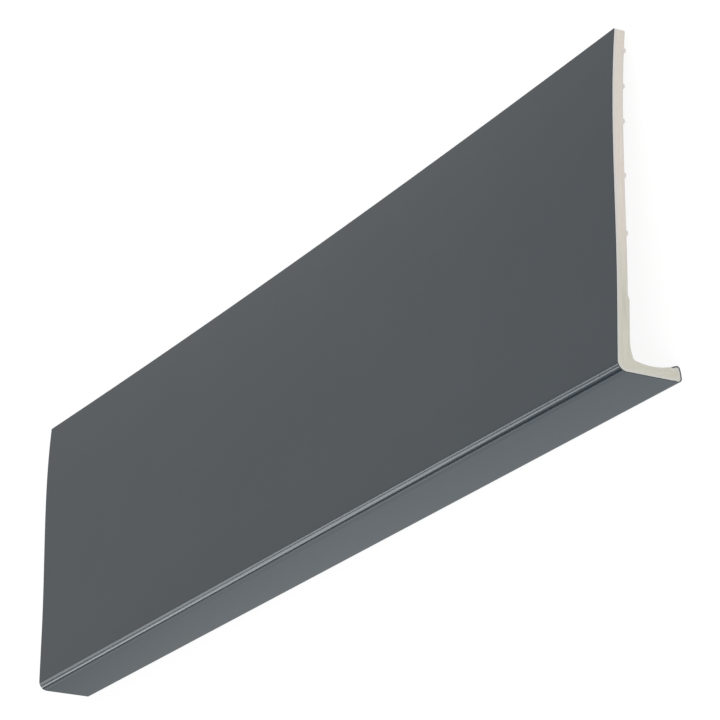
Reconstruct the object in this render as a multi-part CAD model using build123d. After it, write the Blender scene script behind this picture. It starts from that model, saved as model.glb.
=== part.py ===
from build123d import *

import math
import os

# Fascia board with a return leg: an off-white foamed plastic board, and a thin coloured skin over
# all that shows when it is fixed to the roof's edge. Sizes are in millimetres.
#
# The board is drawn as it stands on a roof: X runs along it, Y runs back from its face, and Z runs
# up from the underside of its leg. It is then laid down, face up, on its leg and its top edge.

# The whole board
board_length = 1000.0
board_height = 250.0
leg_depth = 51.0

# The upright web: a little bowed, both up its height and along its free top edge
web_thickness = 9.0
web_bulge = 2.2
edge_bow = 6.0
top_radius = 1.0

# The heel, where the web is thicker above the leg
heel_step = 1.3
heel_height = 52.0
heel_taper = 3.5
heel_radius = 2.0

# The root, where the heel flares into the leg
root_flare = 3.1
root_height = 24.0
root_radius = 2.0
corner_radius = 8.0

# The leg: hollow on top, between a thicker root and a rounded tip that leans forward
leg_root_height = 9.8
leg_hollow = 3.2
tip_height = 12.4
tip_lean = 2.5
tip_radius = 3.0
crown_radius = 2.4

# Ribs along the back of the web, each measured down from the top edge
rib_drops = (15.0, 42.0, 68.0, 108.0, 150.0)
rib_width = 4.4
rib_height = 1.5

# The coloured skin: over the face, the corner, the underside and round the tip of the leg
skin_thickness = 0.6
skin_return = 7.5

heel_thickness = web_thickness + heel_step
root_thickness = heel_thickness + root_flare
heel_end = heel_height + heel_taper
web_start = heel_end + heel_radius
web_rise = board_height - web_start


def web_shift(height, bow):
    """How far the web stands back from its straight line: its bow, less its forward bulge."""
    part_way = (height - web_start) / web_rise
    fullest = 4.0 / 27.0
    bulge = web_bulge * part_way**2 * (1.0 - part_way) / fullest
    return bow * part_way**2 - bulge


def web_curve(depth, bow):
    """The web's line at a depth from the face: the cubic of web_shift, as a Bezier curve."""
    bulge_pull = web_bulge * 9.0 / 4.0
    bow_pull = bow / 3.0
    return Bezier(
        (depth, web_start),
        (depth, web_start + web_rise / 3.0),
        (depth + bow_pull - bulge_pull, web_start + web_rise * 2.0 / 3.0),
        (depth + bow, board_height),
    )


def rounded(face, point, radius):
    """The face with its corner nearest to the point rounded."""
    corner = face.vertices().sort_by_distance(point)[0]
    return fillet(corner, radius)


def web_section(front, back, bow):
    """The web above the heel, from its front depth to its back depth."""
    return make_face(
        [
            web_curve(front, bow),
            Line((front, web_start), (back, web_start)),
            web_curve(back, bow),
            Line((front + bow, board_height), (back + bow, board_height)),
        ]
    )


def rib_section(drop, bow):
    """One rib: the part of a circle that stands proud of the web's back."""
    height = board_height - drop
    radius = (rib_width**2 / 4.0 + rib_height**2) / (2.0 * rib_height)
    back = web_thickness + web_shift(height, bow)
    return Pos(back + rib_height - radius, height) * Circle(radius)


def skin_web_section(bow):
    """The skin on the web's face."""
    return web_section(0, skin_thickness, bow)


def board_web_section(bow):
    """The web behind the skin, with its top back edge rounded and its ribs."""
    section = web_section(skin_thickness, web_thickness, bow)
    section = rounded(section, (web_thickness + bow, board_height), top_radius)
    for drop in rib_drops:
        if board_height - drop > web_start + rib_width:
            section += rib_section(drop, bow)
    return section


def lower_outline(inset=0.0):
    """The heel and leg, with the sides that the skin covers moved in by an inset."""
    crown = (leg_depth - tip_lean - inset, tip_height - inset)
    root = (root_thickness, leg_root_height - inset)
    toe = (leg_depth - inset, inset)
    root_top = (heel_thickness, root_height)
    heel_top = (heel_thickness, heel_height)
    web_foot = (web_thickness, heel_end)
    section = make_face(
        [
            Line((inset, web_start), (inset, inset)),
            Line((inset, inset), toe),
            TangentArc(toe, crown, tangent=(0, 1)),
            SagittaArc(crown, root, leg_hollow),
            TangentArc(root_top, root, tangent=(0, -1)),
            Line(root_top, heel_top),
            Line(heel_top, web_foot),
            Line(web_foot, (web_thickness, web_start)),
            Line((web_thickness, web_start), (inset, web_start)),
        ]
    )
    section = rounded(section, (inset, inset), corner_radius - inset)
    section = rounded(section, toe, tip_radius - inset)
    section = rounded(section, crown, crown_radius - inset)
    section = rounded(section, root, root_radius)
    section = rounded(section, heel_top, heel_radius)
    section = rounded(section, web_foot, heel_radius)
    return section


def covered_region():
    """The area that the skin can reach: up to the middle of the web, the leg and its tip's top."""
    web_middle = web_thickness / 2.0
    leg_middle = (leg_root_height - leg_hollow) / 2.0
    skin_end = leg_depth - skin_return
    return make_face(
        Polyline(
            (0, web_start),
            (web_middle, web_start),
            (web_middle, leg_middle),
            (skin_end, leg_middle),
            (skin_end, tip_height),
            (leg_depth, tip_height),
            (leg_depth, 0),
            (0, 0),
            close=True,
        )
    )


def skin_lower_section():
    """The skin lies between the outline and the same outline with its covered sides moved in."""
    return (lower_outline() - lower_outline(skin_thickness)) & covered_region()


def board_lower_section():
    """The heel and leg under the skin."""
    return lower_outline() - skin_lower_section()


def whole_length(lower_section, web_section_at):
    """The solid of a lower section, straight, and of a web section that bows in mid-length."""
    half = board_length / 2.0
    stations = [
        Plane.YZ.offset(-half) * web_section_at(0),
        Plane.YZ * web_section_at(edge_bow),
        Plane.YZ.offset(half) * web_section_at(0),
    ]
    web = loft([station.face() for station in stations])
    lower = extrude(Plane.YZ * lower_section, amount=half, both=True)
    return web.solid() + lower.solid()


def rest_tilt():
    """The angle of the face to the floor, lying on the tip's round back and the rounded top edge."""
    tip_arc_radius = (tip_lean**2 + tip_height**2) / (2.0 * tip_lean)
    top_centre = board_height - top_radius
    top_depth = web_thickness + web_shift(top_centre, edge_bow) - top_radius
    depth_between = leg_depth - tip_arc_radius - top_depth
    distance = math.hypot(depth_between, top_centre)
    slope = math.atan2(top_centre, -depth_between)
    return math.degrees(slope - math.acos((tip_arc_radius - top_radius) / distance))


foam_board = whole_length(board_lower_section(), board_web_section)
colour_skin = whole_length(skin_lower_section(), skin_web_section)

# Face up, with the origin on the floor, under the middle of the board
face_up = Rot(X=-(90.0 + rest_tilt()))
box = Compound([face_up * foam_board, face_up * colour_skin]).bounding_box()
at_rest = Pos(0, -box.center().Y, -box.min.Z) * face_up

os.makedirs("parts", exist_ok=True)
export_step(at_rest * foam_board, "parts/foam_board.step")
export_step(at_rest * colour_skin, "parts/colour_skin.step")
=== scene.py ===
import math

import bpy
import numpy as np
from bpy.props import FloatProperty, FloatVectorProperty, PointerProperty
from bpy.types import NodeSocket, Operator, Panel, PropertyGroup
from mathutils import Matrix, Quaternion, Vector
from mathutils.geometry import delaunay_2d_cdt


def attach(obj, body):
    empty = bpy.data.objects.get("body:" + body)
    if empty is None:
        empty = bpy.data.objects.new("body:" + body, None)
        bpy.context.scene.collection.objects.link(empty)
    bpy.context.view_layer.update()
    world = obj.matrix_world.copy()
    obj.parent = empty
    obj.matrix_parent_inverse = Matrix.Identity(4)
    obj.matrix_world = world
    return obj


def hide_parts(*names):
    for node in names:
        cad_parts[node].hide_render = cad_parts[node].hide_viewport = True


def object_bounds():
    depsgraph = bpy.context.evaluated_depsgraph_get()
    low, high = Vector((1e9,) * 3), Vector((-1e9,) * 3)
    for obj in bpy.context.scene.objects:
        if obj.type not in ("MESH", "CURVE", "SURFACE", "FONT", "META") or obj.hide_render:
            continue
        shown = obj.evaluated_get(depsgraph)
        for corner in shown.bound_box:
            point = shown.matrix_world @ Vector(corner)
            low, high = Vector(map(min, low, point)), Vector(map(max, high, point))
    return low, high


bl_info = {
    "name": "Fascia Board",
    "version": (1, 0, 0),
    "blender": (4, 5, 0),
    "location": "View3D > Sidebar > Fascia Board",
    "description": "Builds a fascia board's foamed body, its coloured skin and a plain studio",
    "category": "Object",
}

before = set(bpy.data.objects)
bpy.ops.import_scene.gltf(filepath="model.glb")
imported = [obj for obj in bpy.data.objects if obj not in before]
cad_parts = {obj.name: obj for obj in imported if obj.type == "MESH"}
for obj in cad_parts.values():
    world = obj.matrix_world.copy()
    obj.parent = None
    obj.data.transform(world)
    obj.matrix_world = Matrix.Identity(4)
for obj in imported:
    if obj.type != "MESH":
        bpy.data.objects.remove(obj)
cad_low, cad_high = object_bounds()

# The board's section, in metres. It is drawn upright: depth runs back from the face, and height
# runs up from the underside of the leg.
WEB_BULGE = 0.0022
TOP_RADIUS = 0.001
HEEL_STEP = 0.0013
HEEL_HEIGHT = 0.052
HEEL_TAPER = 0.0035
HEEL_RADIUS = 0.002
ROOT_FLARE = 0.0031
ROOT_HEIGHT = 0.024
ROOT_RADIUS = 0.002
CORNER_RADIUS = 0.008
LEG_ROOT_HEIGHT = 0.0098
LEG_HOLLOW = 0.0032
TIP_HEIGHT = 0.0124
TIP_LEAN = 0.0025
TIP_RADIUS = 0.003
CROWN_RADIUS = 0.0024
RIB_DROPS = (0.015, 0.042, 0.068, 0.108, 0.150)
RIB_WIDTH = 0.0044
RIB_HEIGHT = 0.0015
WEB_START = HEEL_HEIGHT + HEEL_TAPER + HEEL_RADIUS

# How finely the meshes follow it
STATIONS = 97
WEB_STEPS = 64
ARC_STEPS = 14
RIB_STEPS = 13
CAP_SPACING = 0.0007
SHARP_ANGLE = math.radians(32)

# In a metre
MILLIMETRES = 1000.0

# Tints of the panels that glossy surfaces reflect
COOL = (0.92, 0.97, 1.0)
NEUTRAL = (1.0, 1.0, 1.0)

# The panels beyond the board. A station is a share of the board's length from its near end, the
# bearings of the panel's two edges in degrees over from +Y, as the round corner sees them, and the
# glow there. A glow of 1 is as bright as the sky, so each panel fades in from it.
OVERHEAD_STRIP = (
    (-0.22, 93.0, 103.5, 1.0),
    (-0.12, 93.0, 103.5, 5.5),
    (0.05, 92.5, 103.5, 5.5),
    (0.18, 83.5, 96.5, 5.6),
    (0.48, 81.5, 94.0, 5.2),
    (0.65, 83.5, 107.0, 4.2),
    (1.16, 78.5, 111.5, 2.6),
)
FRONT_STRIP = (
    (-0.22, 117.0, 129.5, 1.0),
    (-0.12, 117.0, 129.5, 5.7),
    (0.07, 116.5, 129.5, 5.7),
    (0.27, 103.5, 132.0, 5.6),
    (0.48, 107.5, 140.5, 5.6),
    (0.69, 121.5, 143.5, 6.6),
    (0.86, 129.0, 146.5, 6.3),
    (1.20, 133.0, 149.0, 5.0),
)
DARK_FLAG = (
    (-0.22, 148.0, 175.5, 1.0),
    (-0.12, 148.0, 175.5, 0.0),
    (0.08, 148.0, 175.5, 0.0),
    (0.20, 147.0, 164.5, 0.0),
    (0.44, 144.5, 154.0, 0.0),
    (0.70, 147.5, 156.0, 0.0),
    (0.92, 156.0, 164.5, 0.0),
    (1.20, 162.5, 172.0, 0.0),
)
LOW_STRIP = (
    (-0.22, 175.5, 180.4, 1.0),
    (-0.12, 175.5, 180.4, 2.8),
    (0.08, 175.5, 180.4, 2.8),
    (0.20, 164.5, 180.4, 2.8),
    (0.44, 156.0, 180.4, 1.8),
    (0.70, 159.0, 180.4, 1.6),
    (0.92, 167.5, 180.4, 1.3),
    (1.20, 175.0, 180.4, 1.1),
)
FACE_CARD = (
    (-0.60, 22.0, 72.0, 1.0),
    (-0.35, 22.0, 72.0, 1.10),
    (0.00, 22.0, 72.0, 1.08),
    (0.40, 22.0, 72.0, 0.97),
    (0.80, 22.0, 72.0, 0.92),
    (1.20, 22.0, 72.0, 0.90),
)


class FasciaSizes(PropertyGroup):
    """The board's main sizes."""

    length: FloatProperty(
        name="Length",
        description="Length of the board between its sawn ends",
        default=cad_high.x - cad_low.x,
        min=0.1,
        unit="LENGTH",
    )
    height: FloatProperty(
        name="Height",
        description="Height of the face, from the underside of the leg to the top edge",
        default=0.25,
        min=0.17,
        unit="LENGTH",
    )
    leg_depth: FloatProperty(
        name="Leg depth",
        description="Depth of the return leg, measured from the face",
        default=0.051,
        min=0.03,
        unit="LENGTH",
    )
    web_thickness: FloatProperty(
        name="Web thickness",
        description="Thickness of the upright web, with its skin",
        default=0.009,
        min=0.004,
        unit="LENGTH",
    )
    edge_bow: FloatProperty(
        name="Edge bow",
        description="How far the middle of the top edge stands back from a straight line",
        default=0.006,
        min=0.0,
        unit="LENGTH",
    )
    skin_thickness: FloatProperty(
        name="Skin thickness",
        description="Thickness of the coloured skin",
        default=0.0006,
        min=0.0002,
        unit="LENGTH",
    )
    skin_return: FloatProperty(
        name="Skin return",
        description="How far the skin runs back over the top of the leg's tip",
        default=0.0075,
        min=0.004,
        unit="LENGTH",
    )


class FasciaFinish(PropertyGroup):
    """The colours and gloss of the skin and the foam."""

    skin_colour: FloatVectorProperty(
        name="Skin",
        description="Colour of the skin",
        subtype="COLOR",
        default=(0.0270, 0.0388, 0.0490),
        min=0.0,
        max=1.0,
    )
    skin_roughness: FloatProperty(
        name="Skin roughness",
        description="Roughness of the skin's gloss, from a mirror at 0 to chalk at 1",
        subtype="FACTOR",
        default=0.12,
        min=0.0,
        max=1.0,
    )
    core_colour: FloatVectorProperty(
        name="Web core",
        description="Cream colour of the foamed core where the web is sawn",
        subtype="COLOR",
        default=(0.715, 0.660, 0.595),
        min=0.0,
        max=1.0,
    )
    leg_colour: FloatVectorProperty(
        name="Leg core",
        description="Greyer colour of the foamed core where the heel and leg are sawn",
        subtype="COLOR",
        default=(0.580, 0.567, 0.485),
        min=0.0,
        max=1.0,
    )
    rim_colour: FloatVectorProperty(
        name="Rim",
        description="Cooler colour of the denser foam under the skin where the web is sawn",
        subtype="COLOR",
        default=(0.665, 0.638, 0.615),
        min=0.0,
        max=1.0,
    )
    leg_rim_colour: FloatVectorProperty(
        name="Leg rim",
        description="Paler colour of the denser foam under the skin where the heel and leg are sawn",
        subtype="COLOR",
        default=(0.600, 0.592, 0.545),
        min=0.0,
        max=1.0,
    )
    back_colour: FloatVectorProperty(
        name="Back",
        description="Colour of the moulded back, with its ribs",
        subtype="COLOR",
        default=(0.62, 0.60, 0.55),
        min=0.0,
        max=1.0,
    )


class FasciaStudio(PropertyGroup):
    """The camera, and the levels of the sky and of the floor's shadow."""

    camera_place: FloatVectorProperty(
        name="Camera",
        description="Where the camera stands",
        subtype="TRANSLATION",
        unit="LENGTH",
        default=(2.3194, -0.7108, 1.2768),
    )
    camera_target: FloatVectorProperty(
        name="Target",
        description="The point that the camera looks at",
        subtype="TRANSLATION",
        unit="LENGTH",
        default=(0.1128, 0.0065, 0.0250),
    )
    camera_roll: FloatProperty(
        name="Roll",
        description="Turn of the camera about its line of sight, so that the board looks upright",
        subtype="ANGLE",
        default=math.radians(-87.940),
    )
    lens: FloatProperty(
        name="Lens",
        description="Focal length in millimetres",
        default=170.75,
        min=10.0,
    )
    sky: FloatProperty(
        name="Sky",
        description="Strength of the even light from all round",
        default=0.72,
        min=0.0,
    )
    shadow_share: FloatProperty(
        name="Shadow share",
        description="How much of the floor's white takes the object's shadow",
        subtype="FACTOR",
        default=0.15,
        min=0.0,
        max=1.0,
    )


# Drawing the section


def arc(centre, radius, first, last):
    """Points along an arc, from one angle to another in radians."""
    angles = np.linspace(first, last, ARC_STEPS)
    return np.array(centre) + radius * np.stack([np.cos(angles), np.sin(angles)], axis=1)


def bearing(start, end):
    """The angle of the line from one point to another."""
    return math.atan2(end[1] - start[1], end[0] - start[0])


def circles_meet(first, first_radius, second, second_radius, side):
    """Where two circles cross, on the left (1) or right (-1) of the line between their centres."""
    apart = math.dist(first, second)
    along = (apart**2 + first_radius**2 - second_radius**2) / (2.0 * apart)
    across = side * math.sqrt(first_radius**2 - along**2)
    turn = bearing(first, second)
    return (
        first[0] + along * math.cos(turn) - across * math.sin(turn),
        first[1] + along * math.sin(turn) + across * math.cos(turn),
    )


def hollow_circle(sizes, inset):
    """Centre and radius of the leg's hollow top, which runs from the tip's crown to the root."""
    crown = (sizes.leg_depth - TIP_LEAN - inset, TIP_HEIGHT - inset)
    root = (sizes.web_thickness + HEEL_STEP + ROOT_FLARE, LEG_ROOT_HEIGHT - inset)
    chord = math.dist(root, crown)
    radius = (chord**2 / 4.0 + LEG_HOLLOW**2) / (2.0 * LEG_HOLLOW)
    turn = bearing(root, crown)
    rise = radius - LEG_HOLLOW
    middle = ((root[0] + crown[0]) / 2.0, (root[1] + crown[1]) / 2.0)
    return (middle[0] - rise * math.sin(turn), middle[1] + rise * math.cos(turn)), radius


def flare_circle(sizes):
    """Centre and radius of the curve that joins the heel to the leg."""
    drop = ROOT_HEIGHT - LEG_ROOT_HEIGHT
    radius = (ROOT_FLARE**2 + drop**2) / (2.0 * ROOT_FLARE)
    return (sizes.web_thickness + HEEL_STEP + radius, ROOT_HEIGHT), radius


def tip_circle(sizes, inset):
    """Centre and radius of the leg tip's rear, which leans forward."""
    height = TIP_HEIGHT - 2.0 * inset
    radius = (TIP_LEAN**2 + height**2) / (2.0 * TIP_LEAN)
    return (sizes.leg_depth - inset - radius, inset), radius


def part_way(sizes, height):
    """How far up the bowed web a height is, from 0 to 1."""
    return np.clip((height - WEB_START) / (sizes.height - WEB_START), 0.0, 1.0)


def web_shift(sizes, height, bow=0.0):
    """How far the web stands back from its straight line: its bow, less its forward bulge."""
    share = part_way(sizes, height)
    fullest = 4.0 / 27.0
    return bow * share**2 - WEB_BULGE * share**2 * (1.0 - share) / fullest


def skin_end(sizes):
    """The depth at which the skin ends on top of the leg."""
    return sizes.leg_depth - sizes.skin_return


def covered_line(sizes, inset=0.0):
    """The side that the skin covers, moved in by an inset: down the face and round to the leg's top."""
    heights = np.linspace(sizes.height, WEB_START, WEB_STEPS)
    face = np.stack([inset + web_shift(sizes, heights), heights], axis=1)

    corner_middle = (CORNER_RADIUS, CORNER_RADIUS)
    corner = arc(corner_middle, CORNER_RADIUS - inset, math.pi, 1.5 * math.pi)

    tip, tip_radius = tip_circle(sizes, inset)
    hollow, hollow_radius = hollow_circle(sizes, inset)
    toe_radius = TIP_RADIUS - inset
    crown_radius = CROWN_RADIUS - inset
    toe_reach = math.sqrt((tip_radius - toe_radius) ** 2 - toe_radius**2)
    toe = (tip[0] + toe_reach, inset + toe_radius)
    crown = circles_meet(tip, tip_radius - crown_radius, hollow, hollow_radius + crown_radius, -1)
    end_angle = -math.acos((skin_end(sizes) - hollow[0]) / hollow_radius)
    return np.concatenate(
        [
            face,
            corner,
            arc(toe, toe_radius, -0.5 * math.pi, bearing(tip, toe)),
            arc(tip, tip_radius, bearing(tip, toe), bearing(tip, crown))[1:-1],
            arc(crown, crown_radius, bearing(tip, crown), bearing(crown, hollow)),
            arc(hollow, hollow_radius, bearing(hollow, crown), end_angle)[1:],
        ]
    )


def rib_proud(height, sizes):
    """How far the ribs stand proud of the web's back at a height."""
    radius = (RIB_WIDTH**2 / 4.0 + RIB_HEIGHT**2) / (2.0 * RIB_HEIGHT)
    proud = 0.0
    for drop in RIB_DROPS:
        off = min(abs(height - (sizes.height - drop)), RIB_WIDTH / 2.0)
        proud = max(proud, RIB_HEIGHT - radius + math.sqrt(radius**2 - off**2))
    return proud


def web_back(sizes, ribbed):
    """The web's back, from its foot up to its rounded top edge."""
    heights = np.linspace(WEB_START, sizes.height - TOP_RADIUS, WEB_STEPS)
    margin = 1.2
    if ribbed:
        for drop in RIB_DROPS:
            middle, reach = sizes.height - drop, RIB_WIDTH / 2.0
            clear = heights[np.abs(heights - middle) > margin * reach]
            heights = np.sort(np.append(clear, np.linspace(middle - reach, middle + reach, RIB_STEPS)))
    proud = np.array([rib_proud(height, sizes) if ribbed else 0.0 for height in heights])
    return np.stack([sizes.web_thickness + web_shift(sizes, heights) + proud, heights], axis=1)


def corner_between(before, corner, after, radius):
    """Points that round the corner between two straight lines."""
    arrive = (Vector(corner) - Vector(before)).normalized()
    leave = (Vector(after) - Vector(corner)).normalized()
    turn = arrive.angle_signed(leave)
    reach = radius * math.tan(abs(turn) / 2.0)
    start = Vector(corner) - arrive * reach
    side = Vector((-arrive.y, arrive.x)) * (-1.0 if turn > 0.0 else 1.0)
    middle = start + side * radius
    first = bearing(middle, start)
    return arc(middle, radius, first, first - turn)


def bare_line(sizes, ribbed=True):
    """The side with no skin: in from the skin's end, up the root and heel, and up the web's back."""
    hollow, hollow_radius = hollow_circle(sizes, 0.0)
    flare, flare_radius = flare_circle(sizes)
    root = circles_meet(hollow, hollow_radius - ROOT_RADIUS, flare, flare_radius - ROOT_RADIUS, -1)
    start_angle = -math.acos((skin_end(sizes) - hollow[0]) / hollow_radius)
    root_arrive = bearing(hollow, root)
    root_leave = bearing(flare, root) % (2.0 * math.pi)
    heel_back = sizes.web_thickness + HEEL_STEP
    heel_top = (heel_back, HEEL_HEIGHT)
    web_foot = (sizes.web_thickness, HEEL_HEIGHT + HEEL_TAPER)
    above_foot = (sizes.web_thickness, sizes.height)
    top_centre = sizes.height - TOP_RADIUS
    top_middle = (sizes.web_thickness - TOP_RADIUS + web_shift(sizes, top_centre), top_centre)
    return np.concatenate(
        [
            arc(hollow, hollow_radius, start_angle, root_arrive),
            arc(root, ROOT_RADIUS, root_arrive, root_leave - 2.0 * math.pi)[1:-1],
            arc(flare, flare_radius, root_leave, math.pi),
            corner_between((heel_back, 0.0), heel_top, web_foot, HEEL_RADIUS),
            corner_between(heel_top, web_foot, above_foot, HEEL_RADIUS)[:-1],
            web_back(sizes, ribbed),
            arc(top_middle, TOP_RADIUS, 0.0, 0.5 * math.pi)[1:],
        ]
    )


# Making solids from the section


def rest_tilt(sizes):
    """The angle of the face to the floor, lying on the tip's round back and the rounded top edge."""
    _, tip_radius = tip_circle(sizes, 0.0)
    top_centre = sizes.height - TOP_RADIUS
    top_depth = sizes.web_thickness - TOP_RADIUS + web_shift(sizes, top_centre, sizes.edge_bow)
    depth_between = sizes.leg_depth - tip_radius - top_depth
    distance = math.hypot(depth_between, top_centre)
    slope = math.atan2(top_centre, -depth_between)
    return slope - math.acos((tip_radius - TOP_RADIUS) / distance)


def laid_down(sizes, section):
    """The section's points turned face up, as they lie on the floor before they are put in place."""
    tilt = rest_tilt(sizes)
    across = section[:, 1] * math.cos(tilt) - section[:, 0] * math.sin(tilt)
    up = -section[:, 1] * math.sin(tilt) - section[:, 0] * math.cos(tilt)
    return np.stack([across, up], axis=1)


def bowed(sizes, section, bow):
    """The section with its web bowed back."""
    return section + np.stack([bow * part_way(sizes, section[:, 1]) ** 2, 0.0 * section[:, 1]], axis=1)


def resting_place(sizes):
    """What moves the laid section so that it is centred, with its lowest point on the floor."""
    outline = np.concatenate([covered_line(sizes), bare_line(sizes)])
    straight = laid_down(sizes, outline)
    middle = laid_down(sizes, bowed(sizes, outline, sizes.edge_bow))
    both = np.concatenate([straight, middle])
    low, high = both.min(axis=0), both.max(axis=0)
    return np.array([-(low[0] + high[0]) / 2.0, -low[1]])


def nearest_on(line, points):
    """For each point, its distance to a line of points and how far along the line that is."""
    starts, runs = line[:-1], np.diff(line, axis=0)
    lengths = np.linalg.norm(runs, axis=1)
    tiny = 1e-18
    before = np.concatenate([[0.0], np.cumsum(lengths)[:-1]])
    offset = points[:, None, :] - starts[None, :, :]
    share = np.clip((offset * runs).sum(axis=2) / np.maximum(lengths**2, tiny), 0.0, 1.0)
    apart = np.linalg.norm(offset - share[:, :, None] * runs, axis=2)
    closest = apart.argmin(axis=1)
    rows = np.arange(len(points))
    return apart[rows, closest], before[closest] + share[rows, closest] * lengths[closest]


def points_inside(outline, spacing):
    """A lattice of points inside an outline, clear of its edge."""
    low, high = outline.min(axis=0), outline.max(axis=0)
    columns = np.arange(low[0] + spacing / 2.0, high[0], spacing)
    rows = np.arange(low[1] + spacing / 2.0, high[1], spacing)
    lattice = np.stack(np.meshgrid(columns, rows), axis=2).reshape(-1, 2)
    inside = np.zeros(len(lattice), bool)
    for start, end in zip(outline, np.roll(outline, -1, axis=0)):
        if start[1] == end[1]:
            continue
        between = (start[1] > lattice[:, 1]) != (end[1] > lattice[:, 1])
        share = (lattice[:, 1] - start[1]) / (end[1] - start[1])
        inside ^= between & (lattice[:, 0] < start[0] + share * (end[0] - start[0]))
    lattice = lattice[inside]
    closed = np.concatenate([outline, outline[:1]])
    distance, _ = nearest_on(closed, lattice)
    return lattice[distance > spacing * 0.5]


def cap(outline, spacing):
    """The points and triangles that fill an outline. Its own points come first, in their order."""
    points = outline if spacing is None else np.concatenate([outline, points_inside(outline, spacing)])
    loop = list(range(len(outline)))
    inside_only, closeness = 1, 1e-8
    filled = delaunay_2d_cdt([Vector(point) for point in points], [], [loop], inside_only, closeness)
    origins = [origin[0] if origin else -1 for origin in filled[3]]
    if -1 in origins or len(origins) != len(points):
        raise RuntimeError("the cap's outline crosses or repeats itself")
    return points, [[origins[corner] for corner in face] for face in filled[2]]


def prism(name, sizes, outline, spacing):
    """A piece with this section along the whole board, and its sawn ends. Slot 1 is the ends."""
    count = len(outline)
    place = resting_place(sizes)
    half = sizes.length / 2.0
    points, triangles = cap(outline, spacing)

    vertices = []
    for station in np.linspace(-half, half, STATIONS):
        bow = sizes.edge_bow * (1.0 - (station / half) ** 2)
        ring = laid_down(sizes, bowed(sizes, outline, bow)) + place
        vertices.append(np.column_stack([np.full(count, station), ring]))
    inner = laid_down(sizes, points[count:]) + place
    for station in (-half, half):
        vertices.append(np.column_stack([np.full(len(inner), station), inner]))

    sides = []
    for ring in range(STATIONS - 1):
        for corner in range(count):
            here, there = ring * count, (ring + 1) * count
            after = (corner + 1) % count
            sides.append([here + corner, here + after, there + after, there + corner])

    def end_face(triangle, ring, inner_start):
        return [ring * count + c if c < count else inner_start + c - count for c in triangle]

    first_inner = STATIONS * count
    left = [end_face(triangle[::-1], 0, first_inner) for triangle in triangles]
    right = [end_face(triangle, STATIONS - 1, first_inner + len(inner)) for triangle in triangles]

    mesh = bpy.data.meshes.new(name)
    mesh.from_pydata(np.concatenate(vertices).tolist(), [], sides + left + right)
    mesh.polygons.foreach_set("material_index", [0] * len(sides) + [1] * (len(left) + len(right)))
    mesh.polygons.foreach_set("use_smooth", [True] * len(mesh.polygons))
    mesh.set_sharp_from_angle(angle=SHARP_ANGLE)

    depth, _ = nearest_on(covered_line(sizes), points)
    back, run = nearest_on(bare_line(sizes, ribbed=False), points)
    for label, values in (("skin_depth", depth), ("back_depth", back), ("layer_run", run)):
        whole = np.concatenate([np.tile(values[:count], STATIONS), values[count:], values[count:]])
        carried = mesh.attributes.new(label, "FLOAT", "POINT")
        carried.data.foreach_set("value", (whole * MILLIMETRES).astype(np.float32))

    piece = bpy.data.objects.new(name, mesh)
    bpy.context.scene.collection.objects.link(piece)
    return piece


# Materials


def new_material(name):
    """A new material and its empty node tree."""
    material = bpy.data.materials.new(name)
    material.use_nodes = True
    material.node_tree.nodes.clear()
    return material, material.node_tree


def add(tree, kind, inputs=None, **settings):
    """A new shader node with its settings, and each input set, or linked where it is a socket."""
    node = tree.nodes.new("ShaderNode" + kind)
    for key, value in settings.items():
        setattr(node, key, value)
    for key, value in (inputs or {}).items():
        if isinstance(value, NodeSocket):
            tree.links.new(value, node.inputs[key])
        else:
            node.inputs[key].default_value = value
    return node


def stretched(tree, vector, scale):
    """The vector, scaled by its own amount along each axis."""
    return add(tree, "Mapping", {"Vector": vector, "Scale": scale}).outputs["Vector"]


def noise(tree, vector, scale=1.0, detail=3.0, roughness=0.5):
    """A noise value from 0 to 1."""
    inputs = {"Vector": vector, "Scale": scale, "Detail": detail, "Roughness": roughness}
    return add(tree, "TexNoise", inputs).outputs["Fac"]


def spread(tree, value, low, high, to_low=0.0, to_high=1.0, smooth=False):
    """The value's range from low to high, mapped to another range and held within it."""
    kind = "SMOOTHSTEP" if smooth else "LINEAR"
    inputs = {"Value": value, "From Min": low, "From Max": high, "To Min": to_low, "To Max": to_high}
    return add(tree, "MapRange", inputs, interpolation_type=kind).outputs["Result"]


def fading(tree, value, low, high):
    """1 where the value is at most low, and smoothly less up to high, where it is 0."""
    return spread(tree, value, low, high, to_low=1.0, to_high=0.0, smooth=True)


def sums(tree, operation, first, second):
    """One step of arithmetic on two numbers or sockets."""
    return add(tree, "Math", {0: first, 1: second}, operation=operation).outputs[0]


def blended(tree, factor, first, second):
    """Two colours mixed by a factor. The node repeats its sockets' names, so they go by number."""
    factor_input, first_input, second_input, colour_output = 0, 6, 7, 2
    first, second = (c if isinstance(c, NodeSocket) else (*c, 1.0) for c in (first, second))
    inputs = {factor_input: factor, first_input: first, second_input: second}
    return add(tree, "Mix", inputs, data_type="RGBA").outputs[colour_output]


def shade(colour, amount):
    """A colour made lighter or darker by a share of itself."""
    return tuple(min(1.0, channel * (1.0 + amount)) for channel in colour)


def bumps(tree, height, distance, normal=None):
    """A bump of a real height in metres, on top of another one if it is given."""
    inputs = {"Height": height, "Distance": distance, "Strength": 1.0}
    if normal is not None:
        inputs["Normal"] = normal
    return add(tree, "Bump", inputs).outputs["Normal"]


def attribute(tree, label):
    """A number that the mesh carries at each of its points."""
    return add(tree, "Attribute", attribute_name=label).outputs["Fac"]


def finish_material(tree, colour, roughness, normal, **constants):
    """The shader that ends a material. Its constants are set on its own sockets."""
    inputs = {"Base Color": colour, "Roughness": roughness, "Normal": normal, **constants}
    shader = add(tree, "BsdfPrincipled", inputs)
    add(tree, "OutputMaterial", {"Surface": shader.outputs[0]})


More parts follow.
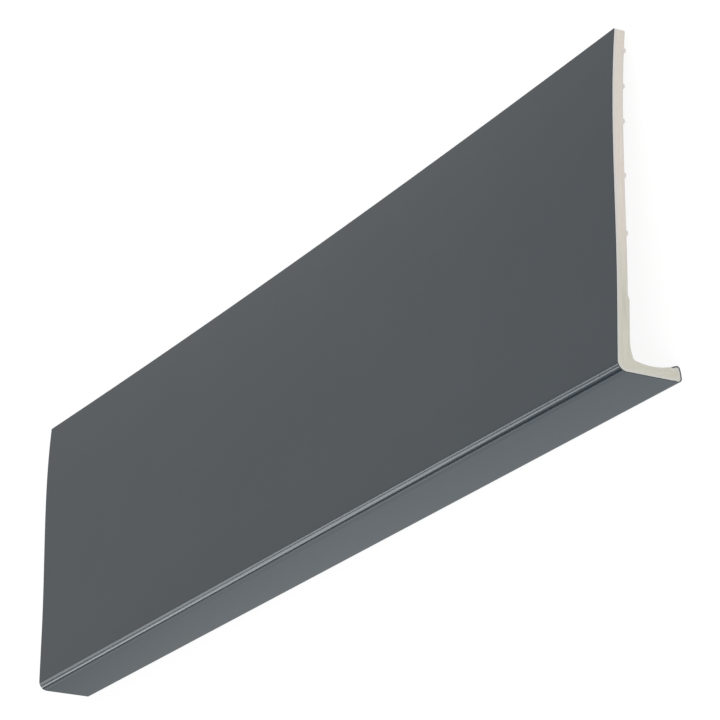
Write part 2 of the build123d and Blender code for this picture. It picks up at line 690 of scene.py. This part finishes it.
def skin_material(finish):
    """Satin coloured skin: faint drag lines along the board, a little mottle, a fine peel and a coat."""
    material, tree = new_material("coloured_skin")
    place = add(tree, "TexCoord").outputs["Object"]
    base = tuple(finish.skin_colour)
    peel_height, grain_height = 0.000004, 0.000001

    mottle = noise(tree, place, scale=11.0, detail=4.0, roughness=0.55)
    drag = noise(tree, stretched(tree, place, (1.6, 170.0, 170.0)), roughness=0.6)
    grain = noise(tree, place, scale=1400.0, detail=2.0, roughness=0.6)
    peel = noise(tree, stretched(tree, place, (90.0, 260.0, 260.0)), detail=2.0)

    colour = blended(tree, spread(tree, mottle, 0.3, 0.7), shade(base, -0.06), shade(base, 0.06))
    lines = blended(tree, spread(tree, drag, 0.25, 0.75), shade(base, -0.05), shade(base, 0.05))
    line_share = 0.35
    colour = blended(tree, line_share, colour, lines)
    speckle_share = sums(tree, "MULTIPLY", spread(tree, grain, 0.6, 0.8), 0.12)
    colour = blended(tree, speckle_share, colour, shade(base, 0.4))
    roughness = spread(tree, mottle, 0.3, 0.7, to_low=0.42, to_high=0.54)
    normal = bumps(tree, peel, peel_height)
    normal = bumps(tree, grain, grain_height, normal)
    gloss = {
        "IOR": 1.5,
        "Specular IOR Level": 0.0,
        "Coat Weight": 0.43,
        "Coat Roughness": finish.skin_roughness,
        "Coat IOR": 1.8,
        "Coat Normal": normal,
    }
    finish_material(tree, colour, roughness, normal, **gloss)
    return material


def skin_edge_material(finish):
    """The skin's cut edge, matt and a little scuffed by the saw."""
    material, tree = new_material("skin_cut_edge")
    place = add(tree, "TexCoord").outputs["Object"]
    base = tuple(finish.skin_colour)
    scuff_height = 0.00003
    scuff = noise(tree, place, scale=900.0, roughness=0.6)
    colour = blended(tree, spread(tree, scuff, 0.55, 0.8), base, shade(base, 1.2))
    roughness = spread(tree, scuff, 0.3, 0.7, to_low=0.5, to_high=0.75)
    normal = bumps(tree, scuff, scuff_height)
    finish_material(tree, colour, roughness, normal, **{"IOR": 1.5, "Specular IOR Level": 0.4})
    return material


def sawn_foam_material(finish):
    """Sawn foam: a cream core in fine layers, a plainer dense rim, small cells and saw marks. The
    mesh gives each point's depth under the skin and the bare back, and its run, in millimetres."""
    material, tree = new_material("sawn_foam")
    place = add(tree, "TexCoord").outputs["Object"]
    depth = attribute(tree, "skin_depth")
    back = attribute(tree, "back_depth")
    run = attribute(tree, "layer_run")
    core, leg = tuple(finish.core_colour), tuple(finish.leg_colour)
    rim, leg_rim = tuple(finish.rim_colour), tuple(finish.leg_rim_colour)

    # Layers follow the section, and wander in the leg, where the run begins
    leg_run, web_run, widest_wander = 34.0, 52.0, 5.0
    in_leg = fading(tree, run, leg_run, web_run)
    layer_place = add(tree, "CombineXYZ", {"X": depth, "Y": run}).outputs[0]
    wander = noise(tree, stretched(tree, layer_place, (0.12, 0.10, 1.0)), detail=2.0)
    wander = sums(tree, "SUBTRACT", wander, 0.5)
    wander = sums(tree, "MULTIPLY", wander, sums(tree, "MULTIPLY", in_leg, widest_wander))
    layer_depth = sums(tree, "ADD", depth, wander)
    layer_place = add(tree, "CombineXYZ", {"X": layer_depth, "Y": run}).outputs[0]
    layers = noise(tree, stretched(tree, layer_place, (1.7, 0.035, 1.0)), detail=4.0, roughness=0.6)
    fine_layers = noise(tree, stretched(tree, layer_place, (5.0, 0.12, 1.0)), roughness=0.6)

    cells = add(tree, "TexVoronoi", {"Vector": place, "Scale": 2600.0}, feature="F1").outputs["Distance"]
    patches = noise(tree, place, scale=60.0)

    parts = add(tree, "SeparateXYZ", {"Vector": place}).outputs
    across, height = parts["Y"], parts["Z"]
    heel_side, web_side = -0.085, 0.012
    upper = spread(tree, across, heel_side, web_side, smooth=True)
    dark = blended(tree, upper, shade(leg, -0.10), shade(core, -0.06))
    pale = blended(tree, upper, shade(leg, 0.11), shade(core, 0.07))
    colour = blended(tree, spread(tree, layers, 0.3, 0.7), dark, pale)
    fine_share = sums(tree, "MULTIPLY", spread(tree, fine_layers, 0.5, 0.75), 0.35)
    colour = blended(tree, fine_share, colour, shade(core, -0.16))

    # The dense rim is a few millimetres deep under the skin, and thinner under the bare back
    raggedness = sums(tree, "MULTIPLY", sums(tree, "SUBTRACT", patches, 0.5), 1.6)
    ragged = sums(tree, "ADD", depth, raggedness)
    rim_share = fading(tree, ragged, 1.8, 3.4)
    back_share = spread(tree, back, 0.3, 1.1, to_low=0.8, to_high=0.0, smooth=True)
    rim_share = sums(tree, "MAXIMUM", rim_share, back_share)
    colour = blended(tree, rim_share, colour, blended(tree, upper, leg_rim, rim))

    pits = sums(tree, "MULTIPLY", spread(tree, cells, 0.0, 0.25, to_low=1.0, to_high=0.0), 0.35)
    colour = blended(tree, pits, colour, shade(core, -0.35))

    # A band of the skin's colour lies on the foam just inside the skin behind the tip, clear of the
    # underside. Its places are in metres, and how deep it reaches in millimetres.
    tip_low, tip_high = 0.0055, 0.0085
    underside, clear_of_it = -0.1266, -0.1254
    full_depth, no_depth = 0.85, 1.2
    at_tip = fading(tree, height, tip_low, tip_high)
    at_tip = sums(tree, "MULTIPLY", at_tip, spread(tree, across, underside, clear_of_it, smooth=True))
    tip_band = sums(tree, "MULTIPLY", at_tip, fading(tree, depth, full_depth, no_depth))
    colour = blended(tree, sums(tree, "MULTIPLY", tip_band, 0.9), colour, tuple(finish.skin_colour))

    saw = {"Vector": place, "Scale": 190.0, "Distortion": 2.5, "Detail": 2.0}
    teeth = add(tree, "TexWave", saw, bands_direction="Y")
    roughness = spread(tree, fine_layers, 0.3, 0.7, to_low=0.66, to_high=0.82)
    tooth_height, layer_height, cell_height = 0.00002, 0.00006, 0.00005
    normal = bumps(tree, teeth.outputs["Fac"], tooth_height)
    normal = bumps(tree, fine_layers, layer_height, normal)
    normal = bumps(tree, cells, cell_height, normal)
    finish_material(tree, colour, roughness, normal, **{"IOR": 1.5, "Specular IOR Level": 0.3})
    return material


def moulded_foam_material(finish):
    """The board's moulded back: satin off-white, with drag lines along the board."""
    material, tree = new_material("moulded_foam")
    place = add(tree, "TexCoord").outputs["Object"]
    base = tuple(finish.back_colour)
    line_height, grain_height = 0.00003, 0.000008
    drag = noise(tree, stretched(tree, place, (2.2, 420.0, 420.0)), roughness=0.6)
    broad = noise(tree, stretched(tree, place, (5.0, 45.0, 45.0)))
    grain = noise(tree, place, scale=900.0, roughness=0.6)
    colour = blended(tree, spread(tree, broad, 0.3, 0.7), shade(base, -0.05), shade(base, 0.04))
    line_share = sums(tree, "MULTIPLY", spread(tree, drag, 0.55, 0.8), 0.4)
    colour = blended(tree, line_share, colour, shade(base, -0.14))
    unevenness = sums(tree, "ADD", broad, grain)
    roughness = spread(tree, unevenness, 0.6, 1.4, to_low=0.36, to_high=0.52)
    normal = bumps(tree, drag, line_height)
    normal = bumps(tree, grain, grain_height, normal)
    finish_material(tree, colour, roughness, normal, **{"IOR": 1.5, "Specular IOR Level": 0.45})
    return material


def seen_directly(tree):
    """1 for what the camera sees, straight, in a reflection or through glass, and 0 for other light."""
    path = add(tree, "LightPath")
    straight = sums(tree, "MAXIMUM", path.outputs["Is Camera Ray"], path.outputs["Is Glossy Ray"])
    return sums(tree, "MAXIMUM", straight, path.outputs["Is Transmission Ray"])


def floor_material(studio):
    """A floor that looks white, keeps the shadow, and lights the object as a plain pale floor does."""
    material, tree = new_material("white_floor")
    pale, lit_share = 0.8, studio.shadow_share
    plain = add(tree, "BsdfDiffuse", {"Color": (pale, pale, pale, 1.0)}).outputs[0]
    shadowed = add(tree, "BsdfDiffuse", {"Color": (lit_share, lit_share, lit_share, 1.0)}).outputs[0]
    # What the light leaves short of white on the open floor, its glow makes up
    white_level, open_light = 1.03, 0.85
    glow = add(tree, "Emission", {"Strength": white_level - open_light * lit_share}).outputs[0]
    white = add(tree, "AddShader", {0: shadowed, 1: glow}).outputs[0]
    surface = add(tree, "MixShader", {"Fac": seen_directly(tree), 1: plain, 2: white}).outputs[0]
    add(tree, "OutputMaterial", {"Surface": surface})
    return material


def glow_material(tint):
    """A panel's surface: a glow of one tint, as strong as the panel's mesh says at each point."""
    material, tree = new_material("panel_glow")
    glow = {"Color": (*tint, 1.0), "Strength": attribute(tree, "glow")}
    add(tree, "OutputMaterial", {"Surface": add(tree, "Emission", glow).outputs[0]})
    return material


# Studio


def flat_panel(name, corners, quads, material):
    """A stage panel of one or more four-sided faces."""
    mesh = bpy.data.meshes.new(name)
    mesh.from_pydata(corners, [], quads)
    mesh.materials.append(material)
    panel = bpy.data.objects.new(name, mesh)
    bpy.context.scene.collection.objects.link(panel)
    return panel


def glow_panel(name, corners, glows, quads, tint):
    """A stage panel with a glow at each corner, which only glossy surfaces see."""
    panel = flat_panel(name, corners, quads, glow_material(tint))
    panel.data.attributes.new("glow", "FLOAT", "POINT").data.foreach_set("value", glows)
    panel.visible_camera = False
    panel.visible_diffuse = False
    panel.visible_shadow = False


def strip_panel(name, studio, stations, tint):
    """A long panel at one reach from the round corner's line. Each station is put where the camera
    sees it reflected in the corner, at that share of the board's length."""
    reach = 6.0
    corner = (-0.118, 0.046)
    camera = studio.camera_place
    sight = math.dist(corner, (camera[1], camera[2]))
    corners, glows = [], []
    for share, low, high, glow in stations:
        seen_at = cad_high.x - share * (cad_high.x - cad_low.x)
        along = seen_at - reach * (camera[0] - seen_at) / sight
        for turn in (math.radians(low), math.radians(high)):
            across = corner[0] + reach * math.cos(turn)
            up = corner[1] + reach * math.sin(turn)
            corners.append((along, across, up))
            glows.append(glow)
    quads = [(k, k + 1, k + 3, k + 2) for k in range(0, len(corners) - 2, 2)]
    glow_panel(name, corners, glows, quads, tint)


def floor_card():
    """A card on the floor in front of the leg, which evens out what the leg's underside reflects. Its
    stations are a place along the board and the glow near the leg."""
    stations = ((0.7, 1.22), (0.0, 1.18), (-0.3, 1.06), (-0.6, 0.85), (-14.0, 0.85))
    rows = (-0.10, -0.19, -0.27, -6.2)
    outer_glow = 1.5
    lift = 0.001
    corners, glows = [], []
    for along, inner_glow in stations:
        for across in rows:
            corners.append((along, across, lift))
            glows.append(inner_glow if across in rows[:2] else outer_glow)
    width = len(rows)
    quads = []
    for station in range(len(stations) - 1):
        for row in range(width - 1):
            first = station * width + row
            quads.append((first, first + 1, first + width + 1, first + width))
    glow_panel("floor_card", corners, glows, quads, COOL)


def build_world(studio):
    """An even pale sky for the light, and plain white where it is seen, straight or reflected."""
    world = bpy.data.worlds.new("studio")
    bpy.context.scene.world = world
    world.use_nodes = True
    tree = world.node_tree
    tree.nodes.clear()
    plain_white = (1.0, 1.0, 1.0, 1.0)
    light = add(tree, "Background", {"Color": plain_white, "Strength": studio.sky}).outputs[0]
    white = add(tree, "Background", {"Color": plain_white, "Strength": 1.0}).outputs[0]
    surface = add(tree, "MixShader", {"Fac": seen_directly(tree), 1: light, 2: white}).outputs[0]
    add(tree, "OutputWorld", {"Surface": surface})


def soft_lamp(name, place, aim, size, watts):
    """A square soft lamp that points at its aim. Glossy surfaces reflect the even sky, not the lamp."""
    lamp = bpy.data.lights.new(name, "AREA")
    lamp.size = size
    lamp.energy = watts
    holder = bpy.data.objects.new(name, lamp)
    holder.location = place
    holder.rotation_mode = "QUATERNION"
    holder.rotation_quaternion = (Vector(aim) - Vector(place)).to_track_quat("-Z", "Y")
    holder.visible_glossy = False
    bpy.context.scene.collection.objects.link(holder)


# Operators


class FASCIA_OT_foam_board(Operator):
    """Build the off-white foamed board: web, heel, hollow leg and back ribs."""

    bl_idname = "fascia.foam_board"
    bl_label = "Foam board"

    def execute(self, context):
        sizes = context.scene.fascia_sizes
        finish = context.scene.fascia_finish
        outline = np.concatenate([covered_line(sizes, sizes.skin_thickness), bare_line(sizes)])
        piece = prism("foamed_board", sizes, outline, CAP_SPACING)
        piece.data.materials.append(moulded_foam_material(finish))
        piece.data.materials.append(sawn_foam_material(finish))
        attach(piece, "root")
        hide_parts("foam_board")
        return {"FINISHED"}


class FASCIA_OT_colour_skin(Operator):
    """Build the coloured skin over the face, the corner, the underside and the tip."""

    bl_idname = "fascia.colour_skin"
    bl_label = "Colour skin"

    def execute(self, context):
        sizes = context.scene.fascia_sizes
        finish = context.scene.fascia_finish
        inner = covered_line(sizes, sizes.skin_thickness)
        outline = np.concatenate([covered_line(sizes), inner[::-1]])
        piece = prism("coloured_skin", sizes, outline, None)
        piece.data.materials.append(skin_material(finish))
        piece.data.materials.append(skin_edge_material(finish))
        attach(piece, "root")
        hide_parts("colour_skin")
        return {"FINISHED"}


class FASCIA_OT_studio(Operator):
    """Build the floor, the even sky, two lamps, and the panels and card that the skin reflects."""

    bl_idname = "fascia.studio"
    bl_label = "Studio"

    def execute(self, context):
        studio = context.scene.fascia_studio
        build_world(studio)
        soft_lamp("key", place=(2.4, -1.9, 2.0), aim=(0.0, 0.0, 0.0), size=2.1, watts=34.0)
        soft_lamp("end_fill", place=(2.6, -0.3, 0.5), aim=(0.5, 0.0, 0.0), size=0.5, watts=5.1)
        half = 30.0
        corners = [(-half, -half, 0.0), (half, -half, 0.0), (half, half, 0.0), (-half, half, 0.0)]
        flat_panel("floor", corners, [(0, 1, 2, 3)], floor_material(studio))
        strip_panel("overhead_strip", studio, OVERHEAD_STRIP, COOL)
        strip_panel("front_strip", studio, FRONT_STRIP, COOL)
        strip_panel("dark_flag", studio, DARK_FLAG, COOL)
        strip_panel("low_strip", studio, LOW_STRIP, COOL)
        strip_panel("face_card", studio, FACE_CARD, NEUTRAL)
        floor_card()
        return {"FINISHED"}


class FASCIA_OT_camera(Operator):
    """Set the camera at the photograph's view of the board."""

    bl_idname = "fascia.camera"
    bl_label = "Camera"

    def execute(self, context):
        studio = context.scene.fascia_studio
        lens = bpy.data.cameras.new("camera")
        lens.lens = studio.lens
        lens.clip_end = 200.0
        camera = bpy.data.objects.new("camera", lens)
        place, target = Vector(studio.camera_place), Vector(studio.camera_target)
        camera.location = place
        camera.rotation_mode = "QUATERNION"
        level = (target - place).to_track_quat("-Z", "Y")
        camera.rotation_quaternion = level @ Quaternion((0.0, 0.0, 1.0), studio.camera_roll)
        context.scene.collection.objects.link(camera)
        context.scene.camera = camera
        context.scene.view_settings.view_transform = "Standard"
        return {"FINISHED"}


class FASCIA_PT_panel(Panel):
    """Lists the board's sizes, colours and steps."""

    bl_idname = "FASCIA_PT_panel"
    bl_label = "Fascia Board"
    bl_space_type = "VIEW_3D"
    bl_region_type = "UI"
    bl_category = "Fascia Board"

    def draw(self, context):
        scene = context.scene
        for group in (scene.fascia_sizes, scene.fascia_finish, scene.fascia_studio):
            box = self.layout.box()
            for name in group.__annotations__:
                box.prop(group, name)
        for step in STEPS:
            self.layout.operator(step.bl_idname)


GROUPS = (FasciaSizes, FasciaFinish, FasciaStudio)
STEPS = (FASCIA_OT_foam_board, FASCIA_OT_colour_skin, FASCIA_OT_studio, FASCIA_OT_camera)
CLASSES = (*GROUPS, *STEPS, FASCIA_PT_panel)


def register():
    for item in CLASSES:
        bpy.utils.register_class(item)
    bpy.types.Scene.fascia_sizes = PointerProperty(type=FasciaSizes)
    bpy.types.Scene.fascia_finish = PointerProperty(type=FasciaFinish)
    bpy.types.Scene.fascia_studio = PointerProperty(type=FasciaStudio)


def unregister():
    del bpy.types.Scene.fascia_sizes
    del bpy.types.Scene.fascia_finish
    del bpy.types.Scene.fascia_studio
    for item in reversed(CLASSES):
        bpy.utils.unregister_class(item)


def main():
    """Builds the board, its studio and its camera."""
    register()
    bpy.ops.fascia.foam_board()
    bpy.ops.fascia.colour_skin()
    bpy.ops.fascia.studio()
    bpy.ops.fascia.camera()


if __name__ == "__main__":
    main()
